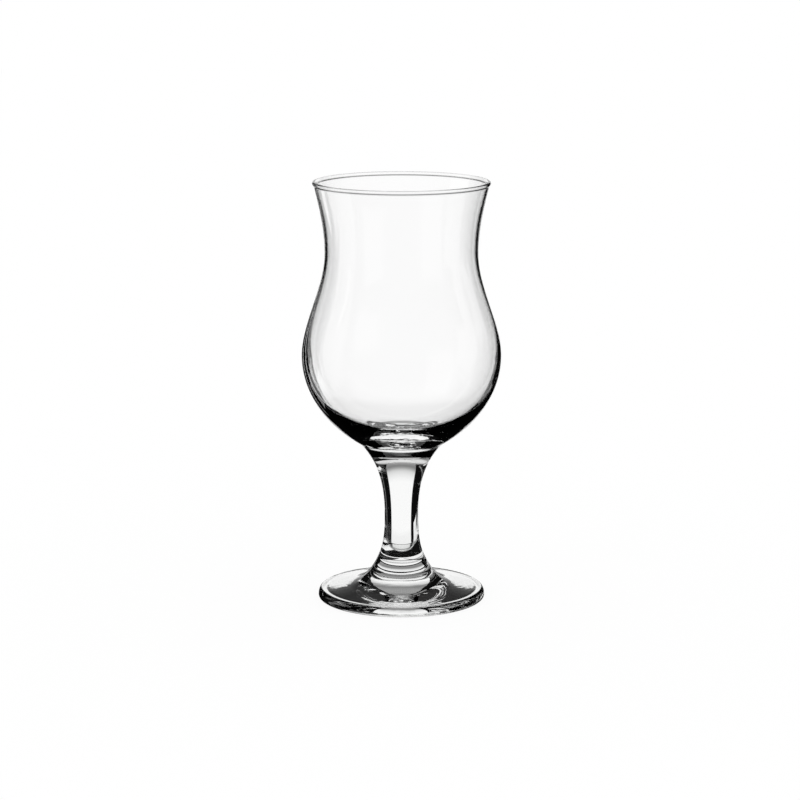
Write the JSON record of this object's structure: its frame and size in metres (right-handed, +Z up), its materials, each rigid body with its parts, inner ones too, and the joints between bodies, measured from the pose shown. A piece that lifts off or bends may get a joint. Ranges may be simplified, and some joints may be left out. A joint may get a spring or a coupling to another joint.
{
  "type": "stemmed glass",
  "caption": "Clear stemmed drinking glass with a flared mouth, drawn-in waist, full belly, thick bottom, short waisted stem and round foot.",
  "frame": {"origin": "on the table, under the axis of the glass", "axes": "+Z up along the axis; the glass is round, so +X and +Y are any two level directions"},
  "size_m": [0.0826, 0.0826, 0.175],
  "materials": {
    "blown_glass": "fire-polished clear",
    "pressed_glass": "fire-polished clear"
  },
  "bodies": {
    "root": {"bowl": "blown_glass", "stem": "pressed_glass", "foot": "pressed_glass"}
  },
  "joints": []
}
